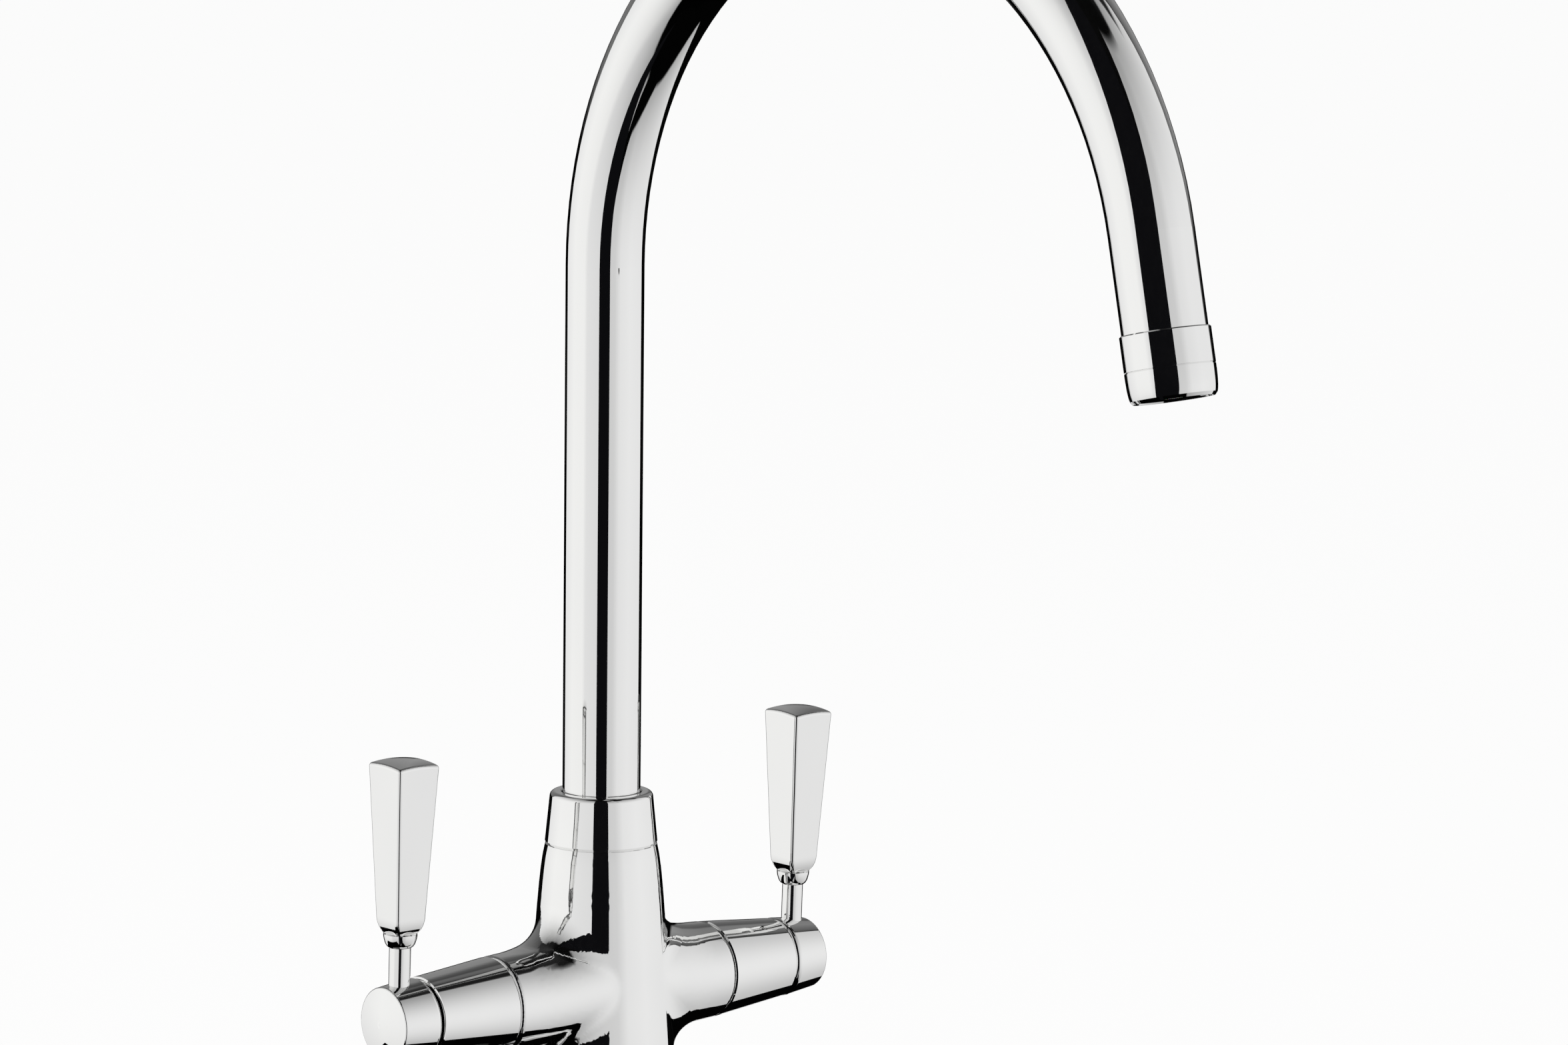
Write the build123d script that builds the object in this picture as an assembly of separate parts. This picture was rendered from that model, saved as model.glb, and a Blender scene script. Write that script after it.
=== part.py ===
"""Two handle kitchen faucet: a chrome body with two arms, a swan neck spout that turns, and two quarter turn levers.

Frame: origin at the middle of the underside of the base, +Z up, spout over -Y, arms along X.
The left side pieces (-X) are the mirror image of the right side ones.
"""

from build123d import *
from math import cos, radians, sin
import os

# Driving dimensions, in millimetres -------------------------------------------------

ARM_HEIGHT = 46.0  # arm axis above the deck
BODY_TOP = 88.0  # shoulder that the spout collar sits on
BASE_RADIUS = 26.0
BASE_THICKNESS = 4.5
BASE_SEAL_OUTER = 22.5
BASE_SEAL_INNER = 20.5
BASE_SEAL_HEIGHT = 1.55
ARM_FILLET = 12.0  # blend of each cast arm into the column

STUB_END = 39.5  # distances along an arm, from the column's axis
SHROUD_END = 64.5
HUB_START = 64.9
HUB_END = 78.5
HUB_DOME = 1.2  # rise of the hub's rounded end
HUB_RIM = 0.7  # rounding between the hub's side and its end
LEVER_AXIS = 72.0
ARM_EDGE = 1.8  # rounding of the cast arm's end and of the hub's, next to the shroud
STUB_END_RADIUS = 13.8
SHROUD_END_RADIUS = 11.4
HUB_END_RADIUS = 10.3
ARM_TAPER = (STUB_END_RADIUS - HUB_END_RADIUS) / (HUB_END - HUB_DOME - STUB_END)

TUBE_RADIUS = 11.0
TUBE_WALL = 1.2
BEND_START = 250.8  # top of the spout's upright run
BEND_RADIUS = 107.6
BEND_ANGLE = 167.4
OUTLET_RUN = 24.7  # straight end of the tube, down to the outlet sleeve
OUTLET_RADIUS = 11.6
OUTLET_THREAD = 9.6
SLEEVE_JOINT = 9.4  # distances along the outlet, from the tube's end
SLEEVE_END = 14.0

COLLAR_TOP = 102.5
COLLAR_LIP = 99.3  # underside of the collar's lip, over the spout's shoulder
NECK_RADIUS = 13.5
NECK_TOP = 95.2
SHOULDER_RADIUS = 13.2
SHOULDER_LOW = 96.0
SHOULDER_TOP = 98.5
SPIGOT_RADIUS = 10.2
SPIGOT_BOTTOM = 70.0
SPIGOT_BORE = 7.0
SEAL_GROOVES = (74.0, 82.0)  # lower edges of the spigot's two grooves
GROOVE_RADIUS = 8.2
GROOVE_WIDTH = 2.6
RUNNING_GAP = 0.05
FITTED_GAP = 0.02

SEAT_FACE = 20.0  # valve seat, from the column's axis
THREAD_RADIUS = 9.3  # headwork thread, drawn plain
DISC_RADIUS = 8.0
SPINDLE_RADIUS = 4.0
TONGUE_WIDTH = 3.0  # the spindle's drive across the moving disc
TONGUE_DEPTH = 1.5
NOSE_RADIUS = 7.0  # plain end of the headwork, inside the arm's shroud
NOSE_END = 62.0
CUP_END = 31.4  # end of the headwork's bore for the discs
SPINDLE_GROOVE = (36.0, 38.0)
SPINDLE_GROOVE_RADIUS = 2.8
SPINDLE_BACK = 29.05  # face of the spindle's flange on the moving disc

LEVER_LEAN = 1.8  # degrees that a closed lever leans to the front
STEM_RADIUS = 3.0
ROD_RADIUS = 2.4
STEM_FOOT = 4.2  # heights above the arm axis, from here on
STEM_TOP = 21.2
ROD_TOP = 44.0
GRIP_BOTTOM = 25.3
GRIP_WAIST = 29.5
GRIP_TOP = 73.3
FERRULE_RADIUS = 4.7
SCREW_RADIUS = 2.0

INLET_X = 7.5
INLET_Y = -5.0
INLET_RADIUS = 4.5
INLET_DEPTH = 13.0
STUD_RADIUS = 4.0
STUD_Y = 9.5
STUD_HOLE_DEPTH = 14.0
STUD_BOTTOM = -62.0
CLAMP_FACE = -22.0  # top of the rubber washer, under a thick deck
WASHER_THICKNESS = 3.0
PLATE_THICKNESS = 2.5
NUT_HEIGHT = 6.5


# Shared shapes ----------------------------------------------------------------------


def turned(*corners):
    """A solid turned about Z from (radius, height) corners."""
    return revolve(make_face(Plane.XZ * Polyline(*corners, close=True)), Axis.Z)


def turned_profile(*curves):
    """A solid turned about Z from curves that close an outline in the (radius, height) plane."""
    return revolve(make_face(Plane.XZ * Curve(list(curves))), Axis.Z)


def rod(radius, low, high, x=0.0, y=0.0):
    """An upright cylinder between two heights."""
    return Pos(x, y, low) * Cylinder(radius, high - low, align=(Align.CENTER, Align.CENTER, Align.MIN))


def ring(outer, inner, low, high):
    """An upright flat ring between two heights."""
    return rod(outer, low, high) - rod(inner, low - 1, high + 1)


def seal_ring(middle_radius, section_radius, height):
    """A round section rubber ring that lies level."""
    return Pos(0, 0, height) * Torus(middle_radius, section_radius)


def on_arm(shape):
    """Lays a shape made upright about Z along the right arm, with its height as distance from the column."""
    return Pos(0, 0, ARM_HEIGHT) * Rotation(0, 90, 0) * shape


def on_lever(shape):
    """Puts a shape made about Z, with its height above the arm axis, on the right lever's stem line."""
    return Pos(LEVER_AXIS, 0, ARM_HEIGHT) * Rotation(LEVER_LEAN, 0, 0) * shape


def spout_end():
    """The plane of the tube's outlet end, with Z along the flow."""
    turn = radians(BEND_ANGLE)
    flow = Vector(0, -sin(turn), cos(turn))
    bend_end = Vector(0, -BEND_RADIUS + BEND_RADIUS * cos(turn), BEND_START + BEND_RADIUS * sin(turn))
    return Plane(origin=bend_end + flow * OUTLET_RUN, x_dir=(1, 0, 0), z_dir=flow)


def arm_radius(distance):
    """Outer radius of the arm's even taper, at a distance from the column's axis."""
    return STUB_END_RADIUS - ARM_TAPER * (distance - STUB_END)


# Column -----------------------------------------------------------------------------


def cast_arm():
    """The right cast arm, which swells towards the column, mostly to the front, the back and the top."""
    sections = (  # distance from the column's axis, half width, lowest and highest point
        (STUB_END, STUB_END_RADIUS, ARM_HEIGHT - STUB_END_RADIUS, ARM_HEIGHT + STUB_END_RADIUS),
        (35.0, 14.05, 31.95, 60.05),
        (30.0, 14.5, 31.75, 60.5),
        (24.0, 15.4, 31.6, 61.6),
        (18.0, 16.4, 31.5, 63.0),
        (12.0, 17.2, 31.4, 64.6),
        (4.0, 17.8, 31.3, 66.5),
    )
    rings = []
    for distance, half_width, low, high in sections:
        middle = Plane(origin=(distance, 0, (low + high) / 2), x_dir=(0, 1, 0), z_dir=(1, 0, 0))
        rings.append(middle * Ellipse(half_width, (high - low) / 2))
    arm = loft(rings)
    return fillet(arm.faces().sort_by(Axis.X)[-1].edges(), ARM_EDGE)


def body_casting():
    """Brass column with its base ring, two cast arms, waterways, valve chambers and spout socket."""
    foot = (21.6, 10.0)
    shoulder = (15.75, BODY_TOP - 0.4)
    rim_inner = 24.2
    edge = 1.0
    rim_top = BASE_THICKNESS
    column = turned_profile(
        Polyline((0, NECK_TOP), (0, 0), (BASE_RADIUS, 0), (BASE_RADIUS, rim_top - edge)),
        RadiusArc((BASE_RADIUS, rim_top - edge), (BASE_RADIUS - edge, rim_top), -edge),
        Line((BASE_RADIUS - edge, rim_top), (rim_inner, rim_top)),
        Spline((rim_inner, rim_top), (22.3, 6.4), foot, tangents=((-1, 0.25), (0, 1))),
        Spline(
            foot,
            (21.0, 28.0),
            (19.9, 44.0),
            (18.75, 59.0),
            (17.95, 70.0),
            (17.25, 78.0),
            shoulder,
            tangents=((0, 1), (-0.25, 1)),
        ),
        Polyline(
            shoulder,
            (shoulder[0] - 0.4, BODY_TOP),
            (NECK_RADIUS, BODY_TOP),
            (NECK_RADIUS, NECK_TOP),
            (0, NECK_TOP),
        ),
    )
    outside = column + cast_arm() + mirror(cast_arm(), about=Plane.YZ)
    saddles = outside.edges().filter_by(lambda edge: min(edge.bounding_box().size) > 1)
    outside = fillet(saddles, ARM_FILLET)

    mixing_radius = 6.5
    mixing_floor = 53.0
    feed_radius = 4.0  # from the supply to the valve seat
    supply_radius = 3.5  # from the inlet up to the feed
    return_radius = 2.5  # from the valve's chamber to the mixing bore
    return_height = ARM_HEIGHT + 10.5
    chamber_radius = 11.2
    cut = rod(SPIGOT_RADIUS + RUNNING_GAP, SPIGOT_BOTTOM - 1.5, NECK_TOP + 1)
    cut += rod(mixing_radius, mixing_floor, SPIGOT_BOTTOM)
    cut += rod(STUD_RADIUS + FITTED_GAP, -1, STUD_HOLE_DEPTH, y=STUD_Y)
    cut += ring(BASE_SEAL_OUTER + 0.1, BASE_SEAL_INNER - 0.1, -1, BASE_SEAL_HEIGHT + 0.05)
    side = on_arm(rod(THREAD_RADIUS + RUNNING_GAP, SEAT_FACE, STUB_END + 1))
    side += on_arm(rod(chamber_radius, SEAT_FACE + 3.5, SEAT_FACE + 10.5))
    side += on_arm(rod(feed_radius, INLET_X - 2.5, SEAT_FACE + 1))
    side += Pos(0, 0, return_height) * Rotation(0, 90, 0) * rod(return_radius, 0, SEAT_FACE + 5)
    side += rod(INLET_RADIUS, -1, INLET_DEPTH, INLET_X, INLET_Y)
    side += rod(supply_radius, INLET_DEPTH - 1, ARM_HEIGHT + 2, INLET_X, INLET_Y)
    cut += side + mirror(side, about=Plane.YZ)
    return outside - cut


def base_seal():
    """Rubber ring let into the underside of the base."""
    return ring(BASE_SEAL_OUTER, BASE_SEAL_INNER, 0.0, BASE_SEAL_HEIGHT)


def spout_collar():
    """Chrome nut that screws on the body's neck and holds the spout's shoulder down."""
    radius = 14.6
    foot_radius = 15.85
    inner = NECK_RADIUS + FITTED_GAP
    hole = TUBE_RADIUS + 0.25
    top_edge = 1.6
    return turned_profile(
        Polyline(
            (radius - top_edge, COLLAR_TOP),
            (hole + 0.3, COLLAR_TOP),
            (hole, COLLAR_TOP - 0.3),
            (hole, COLLAR_LIP),
            (inner, COLLAR_LIP),
            (inner, BODY_TOP),
            (foot_radius - 0.4, BODY_TOP),
            (foot_radius, BODY_TOP + 0.4),
            (radius, COLLAR_TOP - top_edge),
        ),
        RadiusArc((radius, COLLAR_TOP - top_edge), (radius - top_edge, COLLAR_TOP), -top_edge),
    )


def spout_glide_rings():
    """Two low friction plastic rings, one under the spout's shoulder and one under the collar's lip."""
    lower = ring(SHOULDER_RADIUS, SPIGOT_RADIUS + 0.3, NECK_TOP, SHOULDER_LOW - RUNNING_GAP)
    upper = ring(NECK_RADIUS - 0.2, TUBE_RADIUS + 0.15, SHOULDER_TOP + RUNNING_GAP, COLLAR_LIP)
    return Compound([lower, upper])


# Deck fixing ------------------------------------------------------------------------


def fixing_stud():
    """Threaded steel rod, drawn plain, screwed up into the base behind the two inlets."""
    edge = 0.8
    top = STUD_HOLE_DEPTH - 1.2
    return Pos(0, STUD_Y, 0) * turned(
        (0, STUD_BOTTOM),
        (STUD_RADIUS - edge, STUD_BOTTOM),
        (STUD_RADIUS, STUD_BOTTOM + edge),
        (STUD_RADIUS, top),
        (0, top),
    )


def horseshoe(radius, slot_half_width, thickness, top):
    """A round plate with a slot for the two supply tails, open to the front, and a hole for the stud."""
    slot_back = 2.5
    slot = Pos(0, slot_back - radius) * Rectangle(2 * slot_half_width, 2 * radius)
    slot = fillet(slot.vertices().group_by(Axis.Y)[-1], 5.0)
    plate = Circle(radius) - slot - Pos(0, STUD_Y) * Circle(STUD_RADIUS + 0.3)
    plate = fillet(plate.vertices().group_by(Axis.Y)[0], 1.5)
    return Pos(0, 0, top) * extrude(plate, -thickness)


def fixing_nut():
    """Hexagon brass nut, drawn with a plain bore, with both faces turned round at the corners."""
    low = CLAMP_FACE - WASHER_THICKNESS - PLATE_THICKNESS - NUT_HEIGHT
    across_flats = 13.0
    hexagon = extrude(RegularPolygon(across_flats / 2, 6, major_radius=False), NUT_HEIGHT)
    corner = across_flats / 2 / cos(radians(30))
    barrel = chamfer(Cylinder(corner, NUT_HEIGHT, align=(Align.CENTER, Align.CENTER, Align.MIN)).edges(), 0.6)
    nut = (hexagon & barrel) - rod(STUD_RADIUS + FITTED_GAP, -1, NUT_HEIGHT + 1)
    return Pos(0, STUD_Y, low) * nut


# Spout ------------------------------------------------------------------------------


def spout_tube():
    """Bent brass tube: an upright run, one arch in the plane of the spout, and a short straight end."""
    upright = Line((0, 0, SHOULDER_TOP), (0, 0, BEND_START))
    arch_middle = radians(BEND_ANGLE / 2)
    arch_end = radians(BEND_ANGLE)
    arch = ThreePointArc(
        (0, 0, BEND_START),
        (0, -BEND_RADIUS + BEND_RADIUS * cos(arch_middle), BEND_START + BEND_RADIUS * sin(arch_middle)),
        (0, -BEND_RADIUS + BEND_RADIUS * cos(arch_end), BEND_START + BEND_RADIUS * sin(arch_end)),
    )
    run = Line(arch @ 1, spout_end().origin)
    section = Plane(origin=upright @ 0) * (Circle(TUBE_RADIUS) - Circle(TUBE_RADIUS - TUBE_WALL))
    return sweep(section, path=Wire([upright, arch, run]))


def spout_spigot():
    """Brass foot brazed into the tube: shoulder, and a spigot with two seal grooves that turns in the body."""
    inside_tube = TUBE_RADIUS - TUBE_WALL - FITTED_GAP
    top = SHOULDER_TOP + 9.5
    edge = 0.8
    corners = [(SPIGOT_BORE, SPIGOT_BOTTOM), (SPIGOT_RADIUS - edge, SPIGOT_BOTTOM)]
    corners += [(SPIGOT_RADIUS, SPIGOT_BOTTOM + edge)]
    for low in SEAL_GROOVES:
        high = low + GROOVE_WIDTH
        corners += [(SPIGOT_RADIUS, low), (GROOVE_RADIUS, low), (GROOVE_RADIUS, high), (SPIGOT_RADIUS, high)]
    corners += [(SPIGOT_RADIUS, SHOULDER_LOW), (SHOULDER_RADIUS, SHOULDER_LOW), (SHOULDER_RADIUS, SHOULDER_TOP)]
    corners += [(inside_tube, SHOULDER_TOP), (inside_tube, top), (SPIGOT_BORE, top)]
    return turned(*corners)


def spout_seals():
    """Two rubber rings in the spigot's grooves."""
    section = (SPIGOT_RADIUS - GROOVE_RADIUS) / 2 + 0.01
    middle = GROOVE_WIDTH / 2
    return Compound([seal_ring(GROOVE_RADIUS + section, section, low + middle) for low in SEAL_GROOVES])


def outlet_sleeve():
    """Turned brass sleeve brazed on the tube's end, a little wider than the tube."""
    outside = TUBE_RADIUS - TUBE_WALL - FITTED_GAP
    bore = 8.4
    overlap = 9.0
    return spout_end() * turned(
        (outside, -overlap),
        (outside, 0),
        (OUTLET_RADIUS - 0.3, 0),
        (OUTLET_RADIUS, 0.3),
        (OUTLET_RADIUS, SLEEVE_JOINT - 0.2),
        (OUTLET_RADIUS - 0.2, SLEEVE_JOINT),
        (OUTLET_THREAD, SLEEVE_JOINT),
        (OUTLET_THREAD, SLEEVE_END),
        (bore, SLEEVE_END),
        (bore, -overlap),
    )


def aerator_housing():
    """Chrome ring screwed on the sleeve, drawn in at the mouth, which holds the aerator."""
    thread = OUTLET_THREAD + FITTED_GAP
    joint = (OUTLET_RADIUS, SLEEVE_JOINT + 0.2)
    ledge = SLEEVE_END + 1.6
    lip = (11.05, 16.6)
    mouth = 17.4
    throat = 8.9
    shape = turned_profile(
        Polyline((thread, SLEEVE_JOINT), (OUTLET_RADIUS - 0.2, SLEEVE_JOINT), joint),
        Spline(joint, (OUTLET_RADIUS - 0.1, 13.4), lip, tangents=((0, 1), (-0.3, 1))),
        Polyline(lip, (10.4, mouth), (9.9, mouth), (9.6, 17.0), (throat, lip[1]), (throat, ledge), (thread, ledge)),
        Line((thread, ledge), (thread, SLEEVE_JOINT)),
    )
    return spout_end() * shape


def aerator_washer():
    """Flat rubber ring between the sleeve's end and the housing's ledge."""
    return spout_end() * ring(OUTLET_THREAD - 0.1, 8.5, SLEEVE_END, SLEEVE_END + 1.55)


def aerator_insert():
    """Plastic flow straightener: a rim with a plate of round holes, pushed up into the sleeve's bore."""
    inner = 7.2
    plate_low = 14.2
    plate_high = 15.8
    straw = Cylinder(0.75, 6)
    straightener = ring(8.35, inner, 7.0, 16.4) + rod(inner + 0.1, plate_low, plate_high)
    straightener -= Pos(0, 0, plate_low) * straw
    for count, radius in ((6, 2.7), (12, 5.4)):
        straightener -= [Pos(point.X, point.Y, plate_low) * straw for point in ring_points(count, radius)]
    return spout_end() * straightener


def ring_points(count, radius):
    """Points spaced evenly round a circle."""
    return [Vector(radius, 0).rotate(Axis.Z, 360 / count * turn) for turn in range(count)]


# Valve, one in each arm ---------------------------------------------------------------


def valve_bonnet():
    """Brass headwork body: a cup for the discs with two outlet windows, a thread, a hexagon and a nose."""
    cup = DISC_RADIUS + RUNNING_GAP
    cup_start = SEAT_FACE + 2.4
    cup_outer = 8.95
    thread_start = 31.5
    flange_radius = 10.9
    flange_end = STUB_END + 2.0
    bore = SPINDLE_RADIUS + RUNNING_GAP
    shape = turned(
        (cup, cup_start),
        (cup_outer, cup_start),
        (cup_outer, thread_start),
        (THREAD_RADIUS, thread_start),
        (THREAD_RADIUS, STUB_END),
        (flange_radius, STUB_END),
        (flange_radius, flange_end),
        (NOSE_RADIUS, flange_end),
        (NOSE_RADIUS, NOSE_END - 0.5),
        (NOSE_RADIUS - 0.4, NOSE_END),
        (bore, NOSE_END),
        (bore, CUP_END),
        (cup, CUP_END),
    )
    hexagon = RegularPolygon(8.8, 6, major_radius=False) - Circle(NOSE_RADIUS - 0.5)
    shape += Pos(0, 0, flange_end - 0.1) * extrude(hexagon, 6.0)
    windows = Pos(0, 0, SEAT_FACE + 7.2) * Box(30, 8.0, 3.6)
    return on_arm(shape - windows)


def valve_seat_seal():
    """Rubber ring squeezed between the valve seat and the fixed disc."""
    return on_arm(ring(7.6, 4.6, SEAT_FACE, SEAT_FACE + 2.0))


def valve_disc(low, high, turn):
    """Ceramic disc with two opposite quarter openings, at an angle about the arm."""
    hub = 1.8
    rim = 6.4
    disc = Circle(DISC_RADIUS) - Circle(rim) + Circle(hub)
    for side in (0, 180):
        quarter = Circle(rim + 0.1)
        for edge in (45, -45):
            quarter &= Rot(0, 0, side + turn + edge) * Pos(0, 10) * Rectangle(20, 20)
        disc += quarter
    return Pos(0, 0, low) * extrude(disc, high - low)


def fixed_disc():
    """Ceramic disc pressed on the seat seal, which stays still."""
    return on_arm(valve_disc(SEAT_FACE + 2.0, SEAT_FACE + 5.0, 0))


def moving_disc():
    """Ceramic disc that the spindle turns against the fixed one, with a slot across its back."""
    back = SEAT_FACE + 9.0
    slot = Box(14.0, TONGUE_WIDTH + 0.1, 2 * TONGUE_DEPTH + 0.1)
    return on_arm(valve_disc(SEAT_FACE + 5.0, back, 90) - Pos(0, 0, back) * slot)


def valve_spindle():
    """Brass spindle: a flange that drives the moving disc, a seal groove and a splined end, drawn plain."""
    flange_radius = 7.7
    flange_end = CUP_END - 0.1
    end = 73.8
    edge = 0.6
    shape = turned(
        (0, SPINDLE_BACK),
        (flange_radius, SPINDLE_BACK),
        (flange_radius, flange_end),
        (SPINDLE_RADIUS, flange_end),
        (SPINDLE_RADIUS, SPINDLE_GROOVE[0]),
        (SPINDLE_GROOVE_RADIUS, SPINDLE_GROOVE[0]),
        (SPINDLE_GROOVE_RADIUS, SPINDLE_GROOVE[1]),
        (SPINDLE_RADIUS, SPINDLE_GROOVE[1]),
        (SPINDLE_RADIUS, end - edge),
        (SPINDLE_RADIUS - edge, end),
        (0, end),
    )
    return on_arm(shape + Pos(0, 0, SPINDLE_BACK) * Box(13.4, TONGUE_WIDTH, 2 * TONGUE_DEPTH))


def spindle_seal():
    """Rubber ring in the spindle's groove."""
    section = 0.6
    return on_arm(seal_ring(SPINDLE_GROOVE_RADIUS + section + 0.02, section, sum(SPINDLE_GROOVE) / 2))


def arm_shroud():
    """Chrome cone that covers the headwork, from the cast arm to the turning hub."""
    nose_hole = NOSE_RADIUS + FITTED_GAP
    hollow_end = 57.0
    return on_arm(
        turned(
            (11.2, STUB_END),
            (STUB_END_RADIUS - 0.35, STUB_END),
            (STUB_END_RADIUS - 0.03, STUB_END + 0.4),
            (arm_radius(SHROUD_END - 0.25), SHROUD_END - 0.25),
            (SHROUD_END_RADIUS - 0.4, SHROUD_END),
            (nose_hole, SHROUD_END),
            (nose_hole, hollow_end),
            (9.6, hollow_end),
        )
    )


# Lever, one on each arm ---------------------------------------------------------------


def lever_hub():
    """Chrome end cap, domed, that turns on the arm: bored for the spindle, tapped for stem and grub screw."""
    rim = HUB_END - HUB_DOME
    rim_radius = HUB_END_RADIUS - HUB_RIM
    dome_radius = (rim_radius**2 + HUB_DOME**2) / (2 * HUB_DOME)
    start_radius = arm_radius(HUB_START)
    bore_end = 74.0
    stem_hole_end = 12.0
    hub = on_arm(
        turned_profile(
            Polyline((0, HUB_END), (0, HUB_START), (start_radius - ARM_EDGE, HUB_START)),
            RadiusArc((start_radius - ARM_EDGE, HUB_START), (start_radius, HUB_START + ARM_EDGE), -ARM_EDGE),
            Line((start_radius, HUB_START + ARM_EDGE), (HUB_END_RADIUS, rim - HUB_RIM)),
            RadiusArc((HUB_END_RADIUS, rim - HUB_RIM), (rim_radius, rim), -HUB_RIM),
            RadiusArc((rim_radius, rim), (0, HUB_END), -dome_radius),
        )
    )
    hub -= on_arm(rod(SPINDLE_RADIUS + FITTED_GAP, HUB_START - 1, bore_end))
    hub -= on_lever(rod(STEM_RADIUS + FITTED_GAP, STEM_FOOT, stem_hole_end))
    return hub - on_lever(rod(SCREW_RADIUS + FITTED_GAP, -stem_hole_end, -3.0))


def hub_screw():
    """Grub screw with a hexagon socket that clamps the hub on the spindle, reached from below."""
    low = -9.0
    socket = extrude(RegularPolygon(1.0, 6, major_radius=False), 2.4)
    return on_lever(rod(SCREW_RADIUS, low, -SPINDLE_RADIUS - 0.02) - Pos(0, 0, low - 0.1) * socket)


def lever_stem():
    """Chrome rod screwed into the hub, thinner above its shoulder where the ferrule and the grip go on."""
    return on_lever(
        turned(
            (0, STEM_FOOT + 0.1),
            (STEM_RADIUS, STEM_FOOT + 0.1),
            (STEM_RADIUS, STEM_TOP),
            (ROD_RADIUS, STEM_TOP),
            (ROD_RADIUS, ROD_TOP),
            (0, ROD_TOP),
        )
    )


def lever_ferrule():
    """Small chrome cup between the stem's shoulder and the grip."""
    hole = ROD_RADIUS + FITTED_GAP
    foot_radius = 3.3
    edge = 0.3
    rim = FERRULE_RADIUS - edge
    return on_lever(
        turned_profile(
            Polyline((rim, GRIP_BOTTOM), (hole, GRIP_BOTTOM), (hole, STEM_TOP), (foot_radius, STEM_TOP)),
            Spline(
                (foot_radius, STEM_TOP),
                (FERRULE_RADIUS - 0.35, STEM_TOP + 1.6),
                (FERRULE_RADIUS, GRIP_BOTTOM - edge),
                tangents=((1, 0.6), (0, 1)),
            ),
            Line((FERRULE_RADIUS, GRIP_BOTTOM - edge), (rim, GRIP_BOTTOM)),
        )
    )


def lever_grip():
    """Chrome grip: a square bar, wider towards its crowned top, round and drawn in at its foot."""
    foot, waist, top = 3.75, 5.05, 7.15  # half widths across the flats
    corner_radius = 1.1
    rim_radius = 1.0
    crown_rise = 1.2
    slope = (top - waist) / (GRIP_TOP - GRIP_WAIST)
    outline = Curve(
        [
            Polyline((waist, GRIP_WAIST), (top, GRIP_TOP), (0, GRIP_TOP), (0, GRIP_BOTTOM), (foot, GRIP_BOTTOM)),
            TangentArc((waist, GRIP_WAIST), (foot, GRIP_BOTTOM), tangent=(-slope, -1)),
        ]
    )
    half = make_face(outline)
    across = extrude(Plane.XZ * (half + mirror(half, about=Plane.YZ)), 2 * top, both=True)
    bar = across & Rotation(0, 0, 90) * across
    bar = fillet(bar.edges().filter_by(lambda edge: edge.bounding_box().size.Z > 1), corner_radius)
    bar &= turned(
        (0, GRIP_BOTTOM),
        (FERRULE_RADIUS + 0.1, GRIP_BOTTOM),
        (2 * top, GRIP_WAIST + top),
        (2 * top, GRIP_TOP),
        (0, GRIP_TOP),
    )
    crown_radius = top**2 / crown_rise
    bar &= Pos(0, 0, GRIP_TOP - crown_radius) * Sphere(crown_radius)
    bar = fillet(bar.faces().sort_by(Axis.Z)[-1].edges(), rim_radius)
    return on_lever(bar - rod(ROD_RADIUS + FITTED_GAP, GRIP_BOTTOM - 1, ROD_TOP + 1.5))


# Writing ----------------------------------------------------------------------------

pieces = {
    "body_casting": body_casting(),
    "base_seal": base_seal(),
    "fixing_stud": fixing_stud(),
    "clamp_washer": horseshoe(25.0, 12.5, WASHER_THICKNESS, CLAMP_FACE),
    "clamp_plate": horseshoe(24.0, 13.0, PLATE_THICKNESS, CLAMP_FACE - WASHER_THICKNESS),
    "fixing_nut": fixing_nut(),
    "spout_collar": spout_collar(),
    "spout_glide_rings": spout_glide_rings(),
    "spout_tube": spout_tube(),
    "spout_spigot": spout_spigot(),
    "spout_seals": spout_seals(),
    "outlet_sleeve": outlet_sleeve(),
    "aerator_housing": aerator_housing(),
    "aerator_washer": aerator_washer(),
    "aerator_insert": aerator_insert(),
}
right_side = {
    "valve_bonnet": valve_bonnet(),
    "valve_seat_seal": valve_seat_seal(),
    "fixed_disc": fixed_disc(),
    "moving_disc": moving_disc(),
    "valve_spindle": valve_spindle(),
    "spindle_seal": spindle_seal(),
    "arm_shroud": arm_shroud(),
    "lever_hub": lever_hub(),
    "hub_screw": hub_screw(),
    "lever_stem": lever_stem(),
    "lever_ferrule": lever_ferrule(),
    "lever_grip": lever_grip(),
}
for name, shape in right_side.items():
    pieces["right_" + name] = shape
    pieces["left_" + name] = mirror(shape, about=Plane.YZ)

os.makedirs("parts", exist_ok=True)
for name, shape in pieces.items():
    export_step(shape, "parts/" + name + ".step")
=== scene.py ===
from math import pi, radians

import bmesh
import bpy
from mathutils import Euler, Matrix, Vector


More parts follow.
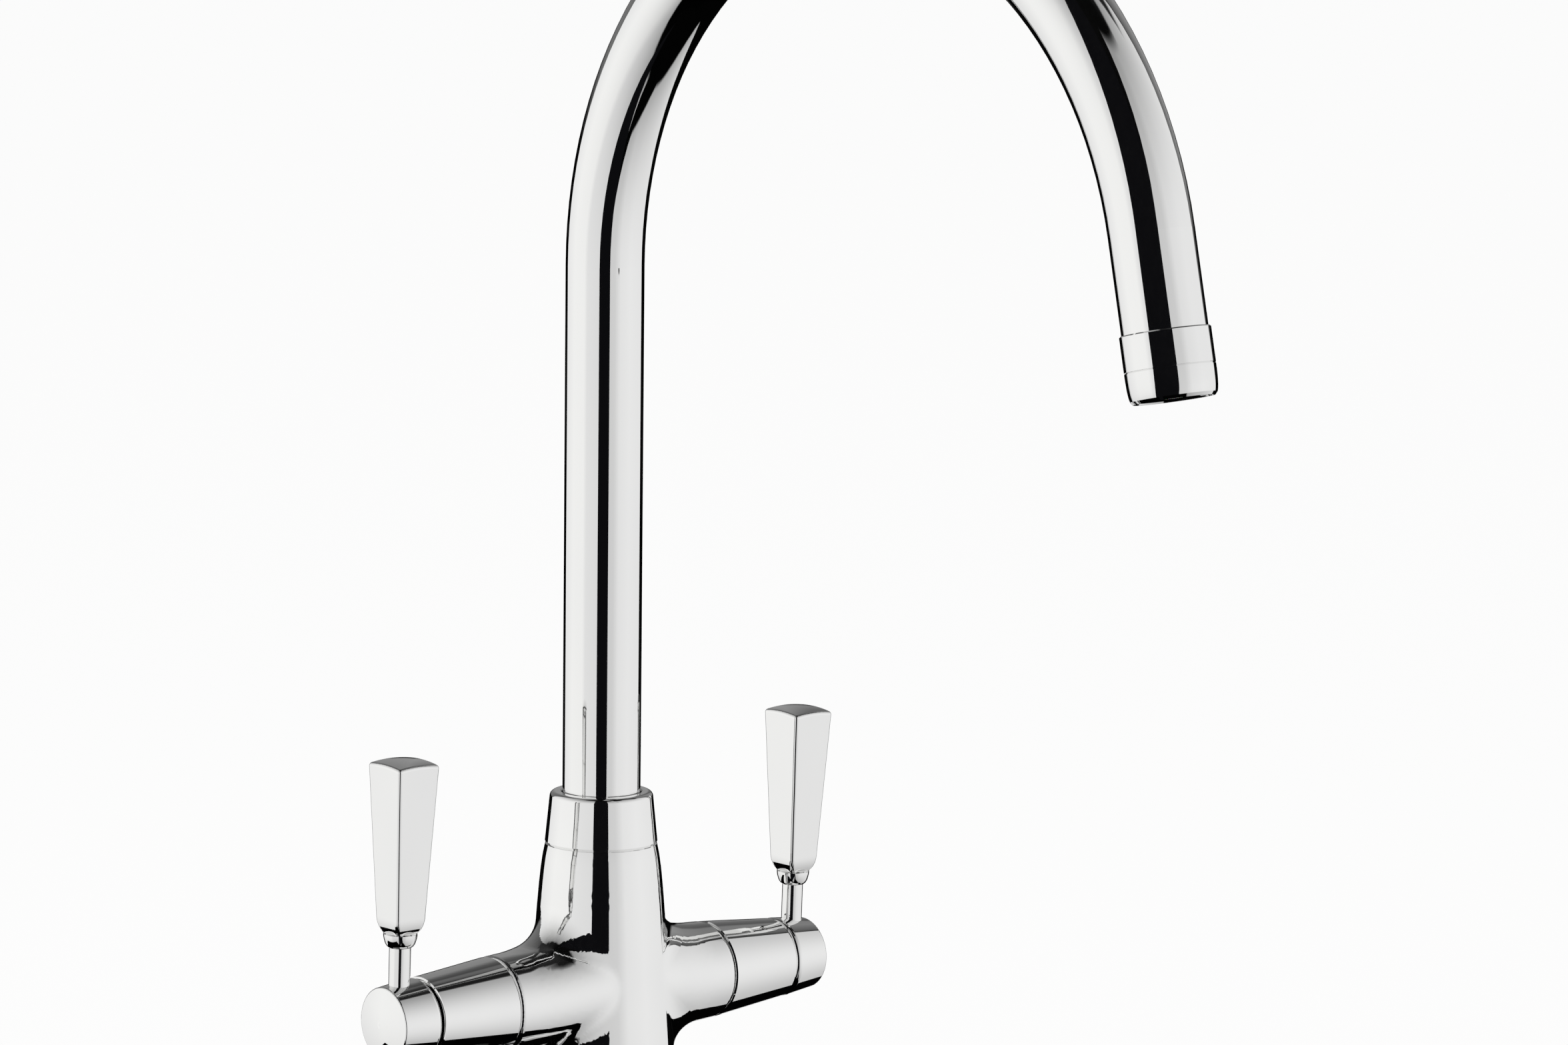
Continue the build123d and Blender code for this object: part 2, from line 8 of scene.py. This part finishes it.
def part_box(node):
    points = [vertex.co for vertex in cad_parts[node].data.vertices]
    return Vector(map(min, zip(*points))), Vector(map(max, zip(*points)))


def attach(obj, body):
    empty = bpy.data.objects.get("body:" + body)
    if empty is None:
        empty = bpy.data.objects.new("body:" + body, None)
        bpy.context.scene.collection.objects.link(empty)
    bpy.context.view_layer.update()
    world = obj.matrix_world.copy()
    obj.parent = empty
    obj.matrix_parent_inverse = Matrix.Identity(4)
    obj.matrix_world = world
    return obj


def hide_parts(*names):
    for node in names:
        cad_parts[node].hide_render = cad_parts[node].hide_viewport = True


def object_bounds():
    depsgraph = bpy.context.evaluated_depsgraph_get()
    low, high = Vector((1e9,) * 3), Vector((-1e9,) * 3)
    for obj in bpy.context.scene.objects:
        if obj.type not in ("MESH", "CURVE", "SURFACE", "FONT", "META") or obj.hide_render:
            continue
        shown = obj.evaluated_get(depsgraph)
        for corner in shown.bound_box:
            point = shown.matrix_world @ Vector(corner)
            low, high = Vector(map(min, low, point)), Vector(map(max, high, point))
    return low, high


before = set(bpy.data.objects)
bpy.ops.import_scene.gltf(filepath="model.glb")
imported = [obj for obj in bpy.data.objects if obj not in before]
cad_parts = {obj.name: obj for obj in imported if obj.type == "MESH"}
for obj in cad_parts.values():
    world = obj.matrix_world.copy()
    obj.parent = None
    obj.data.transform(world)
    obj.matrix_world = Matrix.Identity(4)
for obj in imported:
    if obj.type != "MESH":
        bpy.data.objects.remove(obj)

cad_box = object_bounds()
scene = bpy.context.scene
scene.view_settings.view_transform = "Standard"

# Camera. It stands 1.6 m from the faucet, level with the top of the arch, and looks a little down at the
# front left quarter through a long lens, as the photograph was taken.
camera = bpy.data.objects.new("camera", bpy.data.cameras.new("camera"))
scene.collection.objects.link(camera)
scene.camera = camera
camera.data.sensor_width = 36.0
camera.data.lens = 131.606
camera.data.clip_start = 0.05
camera.data.clip_end = 100.0
camera_place = (-1.019667, -1.218916, 0.391430)
camera_turn = Euler([radians(angle) for angle in (82.385154, -0.634031, -41.650476)])
camera.matrix_world = Matrix.Translation(camera_place) @ camera_turn.to_matrix().to_4x4()


# Studio. White paper stands all round, with a black board and grey walls behind the faucet. The ceiling is
# dark and comes down low over the camera, and the table ends not far off. Chrome shows all of them as hard
# edges.
def colour(code):
    """Linear red, green, blue and alpha of a written sRGB colour."""
    parts = [int(code[at : at + 2], 16) / 255 for at in (1, 3, 5)]
    return [*(part / 12.92 if part <= 0.04045 else ((part + 0.055) / 1.055) ** 2.4 for part in parts), 1.0]


def put(tree, kind, inputs=None, **settings):
    """Adds a node with its settings. Each input is a value, or the output that it is linked to.

    A Mix node's two colours are its inputs 6 and 7, and the mixed colour is its output 2.
    """
    node = tree.nodes.new(kind)
    for name, value in settings.items():
        setattr(node, name, value)
    for name, value in (inputs or {}).items():
        if isinstance(value, bpy.types.NodeSocket):
            tree.links.new(value, node.inputs[name])
        else:
            node.inputs[name].default_value = value
    return node


camera_azimuth = 230.1
world = bpy.data.worlds.new("studio")
scene.world = world
world.use_nodes = True
tree = world.node_tree
tree.nodes.clear()
direction = put(tree, "ShaderNodeTexCoord").outputs["Generated"]
from_camera = put(
    tree,
    "ShaderNodeVectorRotate",
    {"Vector": direction, "Angle": radians(-camera_azimuth)},
    rotation_type="Z_AXIS",
).outputs[0]
axes = put(tree, "ShaderNodeSeparateXYZ", {0: from_camera}).outputs
across = put(tree, "ShaderNodeMath", {0: axes["Y"], 1: axes["X"]}, operation="ARCTAN2").outputs[0]
height = put(tree, "ShaderNodeMath", {0: axes["Z"]}, operation="ARCSINE").outputs[0]
round_share = put(
    tree, "ShaderNodeMapRange", {"Value": across, "From Min": radians(-180), "From Max": radians(180)}
).outputs[0]


def all_round(stops):
    """A colour, or a height in degrees, that changes with the azimuth to the right of the camera."""
    ramp = put(tree, "ShaderNodeValToRGB", {"Fac": round_share})
    for at, _ in stops[2:]:
        ramp.color_ramp.elements.new((at + 180) / 360)
    for element, (at, value) in zip(ramp.color_ramp.elements, stops):
        element.position = (at + 180) / 360
        element.color = colour(value) if isinstance(value, str) else [(value + 90) / 180] * 3 + [1.0]
    return ramp.outputs["Color"]


def divided(edge, blur, below, above):
    """What the studio shows below an edge and above it, with a blur in degrees between them."""
    edge_height = put(
        tree, "ShaderNodeMapRange", {"Value": edge, "To Min": radians(-90), "To Max": radians(90)}
    ).outputs[0]
    over = put(tree, "ShaderNodeMath", {0: height, 1: edge_height}, operation="SUBTRACT").outputs[0]
    share = put(
        tree,
        "ShaderNodeMapRange",
        {"Value": over, "From Min": radians(-blur), "From Max": radians(blur)},
        interpolation_type="SMOOTHSTEP",
    ).outputs[0]
    return put(tree, "ShaderNodeMix", {"Factor": share, 6: below, 7: above}, data_type="RGBA").outputs[2]


paper = all_round([
    (-180, "#E0E0E0"),
    (-135, "#F2F2F2"),
    (-100, "#FDFDFC"),
    (-62, "#FBFBFA"),
    (-52, "#ECECEC"),
    (-15, "#E6E6E6"),
    (14, "#D6D6D6"),
    (30, "#DADADA"),
    (46, "#EEEEEE"),
    (80, "#F4F4F4"),
    (128, "#F0F0F0"),
    (180, "#E0E0E0"),
])
walls = all_round([
    (-180, "#969696"),
    (-165, "#7A7A7A"),
    (-135, "#6E6E6E"),
    (-128, "#D8D8D8"),
    (104, "#D8D8D8"),
    (110, "#303030"),
    (127, "#2C2C2C"),
    (132, "#707070"),
    (152, "#929292"),
    (163, "#8A8A8A"),
    (167, "#5E5E5E"),
    (174, "#6C6C6C"),
    (180, "#969696"),
])
wall_foot = all_round([(-180, 3), (-136, 3), (-130, 88), (104, 88), (107, 45), (126, 45), (131, 3)])
board_foot = all_round([
    (-180, -14),
    (-166, -14),
    (-162, -60),
    (-144, -60),
    (-140, -14),
    (-136, 88),
    (131, 88),
    (135, -14),
    (180, -14),
])
ceiling = all_round([
    (-180, "#343434"),
    (-125, "#202020"),
    (-20, "#080808"),
    (60, "#080808"),
    (140, "#2C2C2C"),
])
ceiling_edge = all_round([
    (-180, 58),
    (-140, 60),
    (-128, 72),
    (-24, 70),
    (-14, 26),
    (13, 22),
    (18, 60),
    (70, 58),
    (95, 66),
    (140, 58),
])
table_edge = all_round([
    (-180, -50),
    (-130, -50),
    (-60, -57),
    (10, -57),
    (12, -12),
    (22, -42),
    (60, -57),
    (132, -53),
    (137, -12),
    (172, -12),
    (176, -50),
])
crisp = 1.5
soft = 3
boarded = divided(board_foot, crisp, paper, colour("#060606"))
upright = divided(wall_foot, soft, boarded, walls)
# What stands upright gets darker away from the faucet's own level.
fading = 1.3
level = put(tree, "ShaderNodeMath", {0: height}, operation="COSINE").outputs[0]
light_left = put(tree, "ShaderNodeMath", {0: level, 1: fading}, operation="POWER").outputs[0]
lit = put(
    tree,
    "ShaderNodeMix",
    {"Factor": 1.0, 6: upright, 7: light_left},
    data_type="RGBA",
    blend_type="MULTIPLY",
).outputs[2]
closed_over = divided(ceiling_edge, soft, lit, ceiling)
surroundings = divided(table_edge, crisp, colour("#030303"), closed_over)

# The camera sees plain white, chrome mirrors the studio, and matt surfaces get an even light.
light_path = put(tree, "ShaderNodeLightPath")
white = colour("#FFFFFF")
seen = put(tree, "ShaderNodeBackground", {"Color": white, "Strength": 1.0}).outputs[0]
soft_light = put(tree, "ShaderNodeBackground", {"Color": white, "Strength": 0.8}).outputs[0]
mirrored = put(tree, "ShaderNodeBackground", {"Color": surroundings, "Strength": 1.0}).outputs[0]
object_light = put(
    tree, "ShaderNodeMixShader", {0: light_path.outputs["Is Glossy Ray"], 1: soft_light, 2: mirrored}
).outputs[0]
everything = put(
    tree, "ShaderNodeMixShader", {0: light_path.outputs["Is Camera Ray"], 1: object_light, 2: seen}
).outputs[0]
put(tree, "ShaderNodeOutputWorld", {"Surface": everything})


# Dark cards. The gap beside the camera is the black band down the middle of the chrome, and the mat under the
# left arm is mirrored in the arm's underside. Only the chrome sees them.
def empty_material(name):
    """A material with no nodes yet."""
    material = bpy.data.materials.new(name)
    material.use_nodes = True
    material.node_tree.nodes.clear()
    return material


def card(name, code, corners):
    """A flat card with an even colour."""
    mesh = bpy.data.meshes.new(name)
    shape = bmesh.new()
    shape.faces.new([shape.verts.new(corner) for corner in corners])
    shape.to_mesh(mesh)
    shape.free()
    material = empty_material(name)
    glow = put(material.node_tree, "ShaderNodeEmission", {"Color": colour(code)}).outputs[0]
    put(material.node_tree, "ShaderNodeOutputMaterial", {"Surface": glow})
    mesh.materials.append(material)
    piece = bpy.data.objects.new(name, mesh)
    scene.collection.objects.link(piece)
    piece.visible_camera = False
    piece.visible_diffuse = False
    piece.visible_shadow = False
    piece.visible_transmission = False


gap_near = (-0.344, -0.233)
gap_far = (-0.823, -1.764)
gap_foot = -0.8
gap_top = 1.4
card("dark_gap", "#0D0D0F", [
    (*gap_near, gap_foot),
    (*gap_far, gap_foot),
    (*gap_far, gap_top),
    (*gap_near, gap_top),
])
clearance = 0.0005
mat_height = cad_box[0][2] + clearance
mat_outline = [(-0.25, -0.078), (0.07, -0.078), (0.1, -0.01), (0.1, 0.2), (-0.25, 0.2)]
card("dark_mat", "#020202", [(x, y, mat_height) for x, y in mat_outline])

# Floor. A pale matt sheet just under the end of the fixing stud, which keeps the faucet's soft shadow. The
# camera sees most of its tone as bright paper, and the chrome doesn't see it.
floor_reach = 30.0
floor_place = Matrix.Translation((0, 0, cad_box[0][2] - clearance))
floor_mesh = bpy.data.meshes.new("floor")
shape = bmesh.new()
bmesh.ops.create_grid(shape, x_segments=1, y_segments=1, size=floor_reach, matrix=floor_place)
shape.to_mesh(floor_mesh)
shape.free()
paper_floor = empty_material("matt_paper")
tree = paper_floor.node_tree
matt = put(tree, "ShaderNodeBsdfDiffuse", {"Color": colour("#F8F8F7")}).outputs[0]
bright = put(tree, "ShaderNodeEmission", {"Color": white, "Strength": 1.0}).outputs[0]
bright_share = 0.86
camera_ray = put(tree, "ShaderNodeLightPath").outputs["Is Camera Ray"]
share = put(tree, "ShaderNodeMath", {0: camera_ray, 1: bright_share}, operation="MULTIPLY").outputs[0]
surface = put(tree, "ShaderNodeMixShader", {0: share, 1: matt, 2: bright}).outputs[0]
put(tree, "ShaderNodeOutputMaterial", {"Surface": surface})
floor_mesh.materials.append(paper_floor)
floor = bpy.data.objects.new("floor", floor_mesh)
scene.collection.objects.link(floor)
floor.visible_glossy = False

# Lamp. One broad soft box overhead on the left gives the matt pieces their shading and the floor its shadow.
# The chrome doesn't mirror it.
lamp = bpy.data.objects.new("soft_box", bpy.data.lights.new("soft_box", "AREA"))
scene.collection.objects.link(lamp)
lamp.data.shape = "SQUARE"
lamp.data.size = 1.2
lamp.data.energy = 9.0
lamp.visible_glossy = False
lamp.location = (-1.0, -0.7, 1.7)
column_top = Vector((0, 0, 0.1))
lamp.rotation_euler = (column_top - lamp.location).to_track_quat("-Z", "Y").to_euler()


# Column. A brass casting, ground and buffed by hand and then chrome plated. Bright chrome mirrors hard edges,
# and the buffing leaves slow ripples in them and fine lines that haze them slightly.
def object_pattern(tree, millimetres):
    """Object coordinates in which one unit is a real size, given along each axis in millimetres."""
    place = put(tree, "ShaderNodeTexCoord").outputs["Object"]
    units = [1000 / size for size in millimetres]
    return put(tree, "ShaderNodeMapping", {"Vector": place, "Scale": units}).outputs[0]


def chrome(name, ripple, marks, depth):
    """Bright chrome plate. Ripple and marks are the sizes of the polishing's waves and lines in millimetres.

    Real lines are finer, and these are drawn as coarse as they need to show.
    """
    material = empty_material(name)
    tree = material.node_tree
    rippled = object_pattern(tree, ripple)
    waves = put(tree, "ShaderNodeTexNoise", {"Vector": rippled, "Scale": 1.0, "Detail": 1.0})
    marked = object_pattern(tree, marks)
    lines = put(tree, "ShaderNodeTexNoise", {"Vector": marked, "Scale": 1.0, "Detail": 3.0})
    haze = put(
        tree,
        "ShaderNodeMapRange",
        {"Value": lines.outputs["Fac"], "From Min": 0.35, "From Max": 0.7, "To Min": 0.02, "To Max": 0.05},
    ).outputs[0]
    tint = put(
        tree,
        "ShaderNodeMix",
        {"Factor": waves.outputs["Fac"], 6: colour("#F0F0F0"), 7: colour("#F4F4F3")},
        data_type="RGBA",
    ).outputs[2]
    buffed = put(
        tree, "ShaderNodeBump", {"Height": waves.outputs["Fac"], "Distance": depth, "Strength": 1.0}
    ).outputs[0]
    surface = put(
        tree,
        "ShaderNodeBsdfPrincipled",
        {"Base Color": tint, "Metallic": 1.0, "Roughness": haze, "Normal": buffed},
    ).outputs[0]
    put(tree, "ShaderNodeOutputMaterial", {"Surface": surface})
    return material


def finish_as(material, *names):
    """Gives CAD nodes a finish."""
    for name in names:
        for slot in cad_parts[name].material_slots:
            slot.material = material


cast_chrome = chrome("buffed_cast_chrome", ripple=(14, 14, 20), marks=(1.5, 1.5, 6), depth=0.00002)
finish_as(cast_chrome, "body_casting")

# Seals and washers. Black EPDM rubber, moulded in blasted tools, so the skin is matt with a grain of about
# 0.4 mm and a few paler, dusty patches. The seals are pushed into grooves, and the washers lie loose.
rubber = empty_material("moulded_black_rubber")
tree = rubber.node_tree
by_grain = object_pattern(tree, (0.4, 0.4, 0.4))
grain = put(tree, "ShaderNodeTexNoise", {"Vector": by_grain, "Scale": 1.0, "Detail": 2.0})
by_patch = object_pattern(tree, (9, 9, 9))
dust = put(tree, "ShaderNodeTexNoise", {"Vector": by_patch, "Scale": 1.0, "Detail": 4.0})
skin = put(
    tree,
    "ShaderNodeMix",
    {"Factor": dust.outputs["Fac"], 6: colour("#161616"), 7: colour("#2A2A29")},
    data_type="RGBA",
).outputs[2]
sheen = put(
    tree, "ShaderNodeMapRange", {"Value": dust.outputs["Fac"], "To Min": 0.5, "To Max": 0.75}
).outputs[0]
grained = put(
    tree, "ShaderNodeBump", {"Height": grain.outputs["Fac"], "Distance": 0.00004, "Strength": 0.8}
).outputs[0]
surface = put(
    tree, "ShaderNodeBsdfPrincipled", {"Base Color": skin, "Roughness": sheen, "Normal": grained}
).outputs[0]
put(tree, "ShaderNodeOutputMaterial", {"Surface": surface})
sides = ("left_", "right_")
finish_as(rubber, "base_seal", "clamp_washer", "spout_seals", "aerator_washer")
for side in sides:
    finish_as(rubber, side + "valve_seat_seal", side + "spindle_seal")

# Deck fixing. An M8 stud with a rolled thread is screwed up into the base and holds a clamp plate, pressed
# with a horseshoe slot for the two supply tails. Both are steel, zinc plated like the hubs' grub screws, and
# the plating leaves a dull, finely pitted skin with bluish and yellowish clouds.
zinc = empty_material("zinc_plated_steel")
tree = zinc.node_tree
by_cloud = object_pattern(tree, (5, 5, 5))
cloud = put(tree, "ShaderNodeTexNoise", {"Vector": by_cloud, "Scale": 1.0, "Detail": 3.0})
# Real pits are finer. They are drawn 0.5 mm wide so that they show.
by_pit = object_pattern(tree, (0.5, 0.5, 0.5))
pits = put(tree, "ShaderNodeTexNoise", {"Vector": by_pit, "Scale": 1.0, "Detail": 2.0})
passivated = put(
    tree,
    "ShaderNodeMix",
    {"Factor": cloud.outputs["Fac"], 6: colour("#C4C9CF"), 7: colour("#D6D5CA")},
    data_type="RGBA",
).outputs[2]
dull = put(
    tree, "ShaderNodeMapRange", {"Value": pits.outputs["Fac"], "To Min": 0.35, "To Max": 0.6}
).outputs[0]
plated = put(
    tree, "ShaderNodeBump", {"Height": pits.outputs["Fac"], "Distance": 0.00002, "Strength": 0.6}
).outputs[0]
surface = put(
    tree,
    "ShaderNodeBsdfPrincipled",
    {"Base Color": passivated, "Metallic": 1.0, "Roughness": dull, "Normal": plated},
).outputs[0]
put(tree, "ShaderNodeOutputMaterial", {"Surface": surface})
finish_as(zinc, "clamp_plate", "left_hub_screw", "right_hub_screw")

stud_low, stud_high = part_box("fixing_stud")
stud_axis = ((stud_low[0] + stud_high[0]) / 2, (stud_low[1] + stud_high[1]) / 2, 0)
inside_cad = 0.00002
crest = (stud_high[0] - stud_low[0]) / 2 - inside_cad
thread_depth = 0.00068
root = crest - thread_depth
pitch = 0.00125
steps_a_turn = 32
turns_to_cut_off = 3
turns = int((stud_high[2] - stud_low[2]) / pitch) + turns_to_cut_off
shape = bmesh.new()
# One pitch of the thread, as shares of the pitch: the root's flat, a flank, the crest and the other flank.
tooth = [
    shape.verts.new((stud_axis[0] + radius, stud_axis[1], stud_low[2] - pitch + part * pitch))
    for radius, part in ((root, 0.0), (root, 0.2), (crest, 0.52), (crest, 0.68), (root, 1.0))
]
for lower, upper in zip(tooth, tooth[1:]):
    shape.edges.new((lower, upper))
bmesh.ops.spin(
    shape,
    geom=shape.verts[:] + shape.edges[:],
    cent=stud_axis,
    axis=(0, 0, 1),
    dvec=(0, 0, pitch / steps_a_turn),
    angle=2 * pi * turns,
    steps=steps_a_turn * turns,
)
merge_within = 0.00002
bmesh.ops.remove_doubles(shape, verts=shape.verts, dist=merge_within)
on_cut = 0.00001
for cut_height, outward in ((stud_low[2] + inside_cad, -1), (stud_high[2] - inside_cad, 1)):
    bmesh.ops.bisect_plane(
        shape,
        geom=shape.verts[:] + shape.edges[:] + shape.faces[:],
        dist=0.000001,
        plane_co=(0, 0, cut_height),
        plane_no=(0, 0, outward),
        clear_outer=True,
    )
    open_edges = [edge for edge in shape.edges if edge.is_boundary]
    rim = [edge for edge in open_edges if abs(edge.verts[0].co.z - cut_height) < on_cut]
    bmesh.ops.edgenet_fill(shape, edges=rim)
# The lower end tapers to a little under the root, so that a nut starts on it.
lead_in = 0.001
tip = root - 0.0002
for vertex in shape.verts:
    from_axis = Vector((vertex.co.x - stud_axis[0], vertex.co.y - stud_axis[1]))
    allowed = tip + max(0.0, vertex.co.z - stud_low[2]) * (crest - tip) / lead_in
    if from_axis.length > allowed:
        vertex.co.x = stud_axis[0] + from_axis.x * allowed / from_axis.length
        vertex.co.y = stud_axis[1] + from_axis.y * allowed / from_axis.length
bmesh.ops.recalc_face_normals(shape, faces=shape.faces)
stud_mesh = bpy.data.meshes.new("threaded_stud")
shape.to_mesh(stud_mesh)
shape.free()
stud_mesh.materials.append(zinc)
stud = bpy.data.objects.new("threaded_stud", stud_mesh)
scene.collection.objects.link(stud)
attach(stud, "faucet_body")
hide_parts("fixing_stud")

# Spout. A 22 mm brass tube, drawn, which leaves faint long lines, then bent in one arch and chrome plated.
# The collar, the outlet's sleeve and its screwed housing are turned from brass bar and polished before
# plating, so only a trace of the turning is left.
tube_chrome = chrome("drawn_tube_chrome", ripple=(16, 16, 60), marks=(1, 1, 30), depth=0.00001)
finish_as(tube_chrome, "spout_tube")
turned_chrome = chrome("turned_chrome", ripple=(12, 12, 12), marks=(3, 3, 3), depth=0.00001)
finish_as(turned_chrome, "spout_collar", "outlet_sleeve", "aerator_housing")


# Inside the spout's foot. The spigot, like the nut under the deck, is brass as it leaves the lathe, with the
# tool's rings left round it. It turns on two glide rings of acetal, moulded plastic with a waxy white skin,
# like the aerator's straightener.
def brass(name, axis):
    """Bare brass with lathe rings about an axis and a first bloom of tarnish.

    Real rings are finer. A wave repeats every 0.314 units, so in units of 1.6 mm they are 0.5 mm apart and
    show.
    """
    material = empty_material(name)
    tree = material.node_tree
    by_ring = object_pattern(tree, (1.6, 1.6, 1.6))
    rings = put(
        tree,
        "ShaderNodeTexWave",
        {"Vector": by_ring, "Scale": 1.0, "Distortion": 0.4, "Detail": 1.0},
        wave_type="BANDS",
        bands_direction=axis,
    )
    by_patch = object_pattern(tree, (7, 7, 7))
    bloom = put(tree, "ShaderNodeTexNoise", {"Vector": by_patch, "Scale": 1.0, "Detail": 4.0})
    metal = put(
        tree,
        "ShaderNodeMix",
        {"Factor": bloom.outputs["Fac"], 6: colour("#E2C67E"), 7: colour("#C9A45C")},
        data_type="RGBA",
    ).outputs[2]
    dull = put(
        tree, "ShaderNodeMapRange", {"Value": bloom.outputs["Fac"], "To Min": 0.18, "To Max": 0.4}
    ).outputs[0]
    cut = put(
        tree, "ShaderNodeBump", {"Height": rings.outputs["Fac"], "Distance": 0.00003, "Strength": 0.5}
    ).outputs[0]
    surface = put(
        tree,
        "ShaderNodeBsdfPrincipled",
        {"Base Color": metal, "Metallic": 1.0, "Roughness": dull, "Normal": cut},
    ).outputs[0]
    put(tree, "ShaderNodeOutputMaterial", {"Surface": surface})
    return material


finish_as(brass("turned_brass_upright", "Z"), "spout_spigot", "fixing_nut")

acetal = empty_material("moulded_acetal")
tree = acetal.node_tree
by_streak = object_pattern(tree, (4, 4, 2))
flow = put(tree, "ShaderNodeTexNoise", {"Vector": by_streak, "Scale": 1.0, "Detail": 3.0})
waxy = put(
    tree,
    "ShaderNodeMix",
    {"Factor": flow.outputs["Fac"], 6: colour("#EFEEE8"), 7: colour("#E3E2DA")},
    data_type="RGBA",
).outputs[2]
gloss = put(
    tree, "ShaderNodeMapRange", {"Value": flow.outputs["Fac"], "To Min": 0.3, "To Max": 0.5}
).outputs[0]
sunk = put(
    tree, "ShaderNodeBump", {"Height": flow.outputs["Fac"], "Distance": 0.00002, "Strength": 0.5}
).outputs[0]
surface = put(tree, "ShaderNodeBsdfPrincipled", {
    "Base Color": waxy,
    "Roughness": gloss,
    "IOR": 1.48,
    "Subsurface Weight": 0.15,
    "Subsurface Scale": 0.002,
    "Normal": sunk,
}).outputs[0]
put(tree, "ShaderNodeOutputMaterial", {"Surface": surface})
finish_as(acetal, "spout_glide_rings", "aerator_insert")

# Valves. In each arm a turned brass headwork presses two discs of alumina ceramic together, and its brass
# spindle turns the outer one. The discs are sintered and lapped flat, which leaves them off white with a
# faint cloud and a satin gloss.
ceramic = empty_material("lapped_alumina")
tree = ceramic.node_tree
by_cloud = object_pattern(tree, (3, 3, 3))
cloud = put(tree, "ShaderNodeTexNoise", {"Vector": by_cloud, "Scale": 1.0, "Detail": 3.0})
# Real pores are finer. They are drawn 0.3 mm wide so that they show.
by_pore = object_pattern(tree, (0.3, 0.3, 0.3))
pores = put(tree, "ShaderNodeTexNoise", {"Vector": by_pore, "Scale": 1.0, "Detail": 2.0})
fired = put(
    tree,
    "ShaderNodeMix",
    {"Factor": cloud.outputs["Fac"], 6: colour("#F0EADB"), 7: colour("#E4DCCB")},
    data_type="RGBA",
).outputs[2]
satin = put(
    tree, "ShaderNodeMapRange", {"Value": pores.outputs["Fac"], "To Min": 0.14, "To Max": 0.3}
).outputs[0]
lapped = put(
    tree, "ShaderNodeBump", {"Height": pores.outputs["Fac"], "Distance": 0.00001, "Strength": 0.4}
).outputs[0]
surface = put(
    tree,
    "ShaderNodeBsdfPrincipled",
    {"Base Color": fired, "Roughness": satin, "IOR": 1.76, "Normal": lapped},
).outputs[0]
put(tree, "ShaderNodeOutputMaterial", {"Surface": surface})
arm_brass = brass("turned_brass_level", "X")
for side in sides:
    finish_as(ceramic, side + "fixed_disc", side + "moving_disc")
    finish_as(arm_brass, side + "valve_bonnet", side + "valve_spindle")

# Arms and levers. The shroud, the hub, the stem and the ferrule are turned from brass bar. The square grip
# is milled and polished flat on its four sides, so each mirrors an even tone. All are chrome plated, and the
# lever is screwed together on the spindle.
grip_chrome = chrome("milled_grip_chrome", ripple=(20, 20, 30), marks=(2, 2, 12), depth=0.00001)
for side in sides:
    for name in ("arm_shroud", "lever_hub", "lever_stem", "lever_ferrule"):
        finish_as(turned_chrome, side + name)
    finish_as(grip_chrome, side + "lever_grip")
